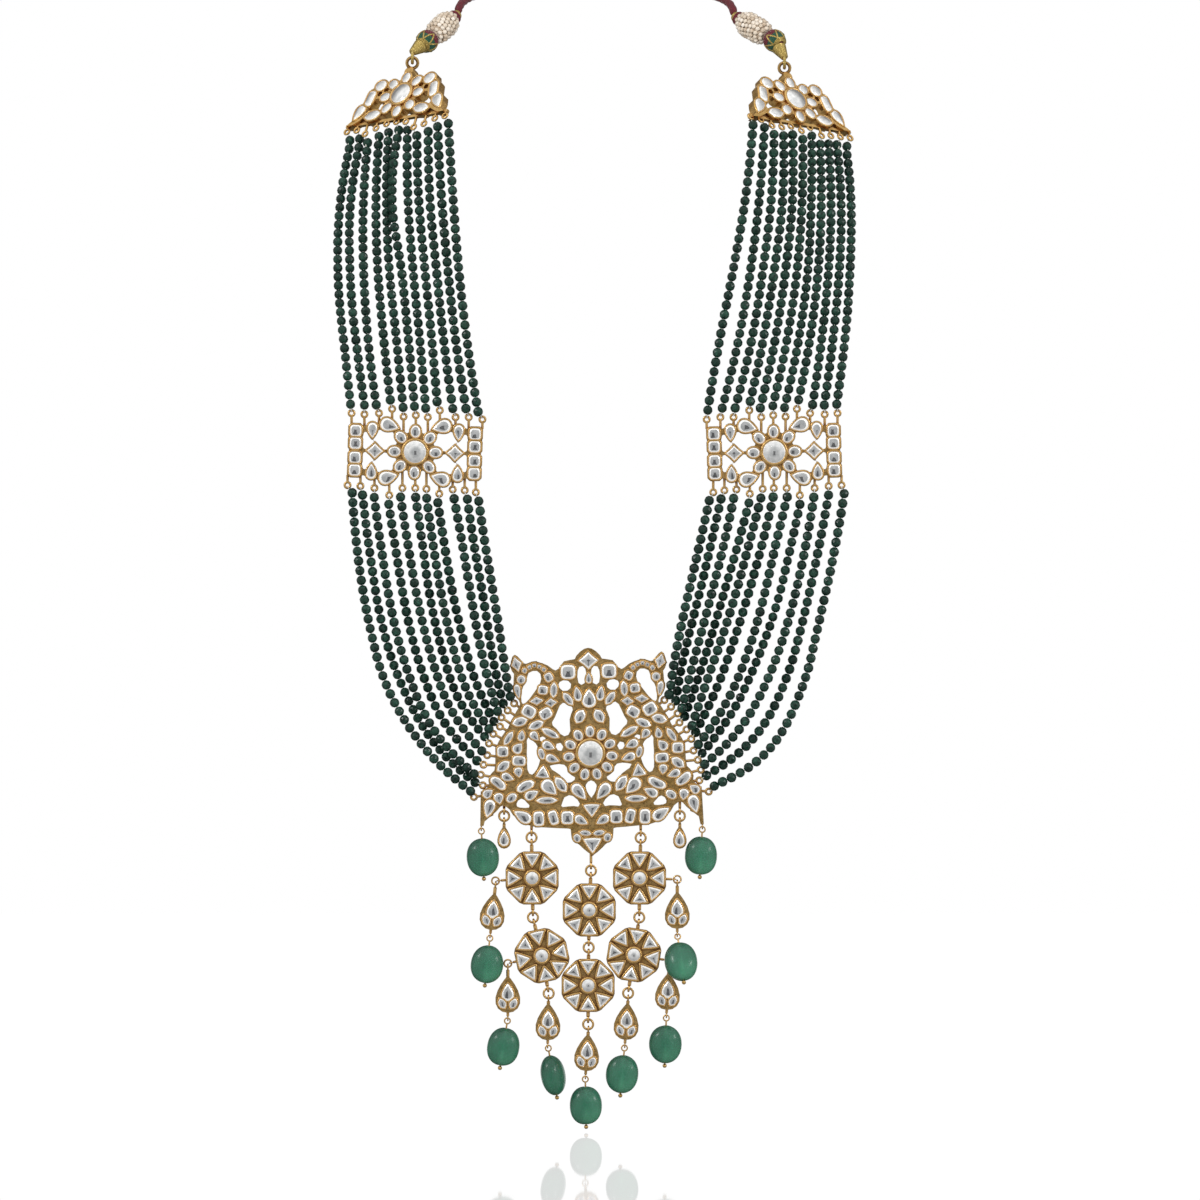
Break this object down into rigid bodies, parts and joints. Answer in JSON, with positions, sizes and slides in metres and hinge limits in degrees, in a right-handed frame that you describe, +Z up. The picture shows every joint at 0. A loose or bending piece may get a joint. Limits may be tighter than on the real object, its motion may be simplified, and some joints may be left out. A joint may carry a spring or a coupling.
{
  "type": "long necklace",
  "caption": "Long necklace of green bead strings with pierced gold spacer bars, a peacock pendant set with clear stones, a medallion fringe and green drops.",
  "frame": {"origin": "the nape, where the middle of the neck cord rests on the back of the neck", "axes": "+X across the shoulders, towards the right of the front view; +Y from the front of the necklace to its back; +Z up. The front faces -Y."},
  "size_m": [0.184, 0.1231, 0.4042],
  "materials": {
    "gold": "satin gold plate",
    "clear_stone": "clear cut glass over silver foil",
    "emerald_beads": "polished facets, dark green",
    "jade_drops": "smooth polished green stone",
    "thread": "dark-red thread with green and gold windings",
    "seed_pearl": "soft pearl gloss",
    "neck_cord": "twisted dark-red thread"
  },
  "bodies": {
    "root": {"pendant_plate": "gold", "left_spacer": "gold", "right_spacer": "gold", "left_cap": "gold", "right_cap": "gold", "left_wrapped_neck": "gold", "right_wrapped_neck": "gold", "left_tip": "gold", "right_tip": "gold", "medallion_1": "gold", "medallion_2": "gold", "medallion_3": "gold", "medallion_4": "gold", "medallion_5": "gold", "medallion_6": "gold", "teardrop_1": "gold", "teardrop_2": "gold", "teardrop_3": "gold", "teardrop_4": "gold", "teardrop_5": "gold", "teardrop_6": "gold", "teardrop_7": "gold", "small_drops": "gold", "fringe_rings": "gold", "head_pins": "gold", "pendant_stones": "clear_stone", "pendant_centre_stone": "clear_stone", "left_spacer_stones": "clear_stone", "right_spacer_stones": "clear_stone", "left_cap_stones": "clear_stone", "right_cap_stones": "clear_stone", "medallion_stones": "clear_stone", "teardrop_stones": "clear_stone", "left_upper_strings": "emerald_beads", "right_upper_strings": "emerald_beads", "left_lower_strings": "emerald_beads", "right_lower_strings": "emerald_beads", "green_bead_1": "jade_drops", "green_bead_2": "jade_drops", "green_bead_3": "jade_drops", "green_bead_4": "jade_drops", "green_bead_5": "jade_drops", "green_bead_6": "jade_drops", "green_bead_7": "jade_drops", "green_bead_8": "jade_drops", "green_bead_9": "jade_drops", "left_thread_ball": "thread", "right_thread_ball": "thread", "left_pearl_bundle": "seed_pearl", "right_pearl_bundle": "seed_pearl", "neck_cord": "neck_cord"}
  },
  "joints": []
}
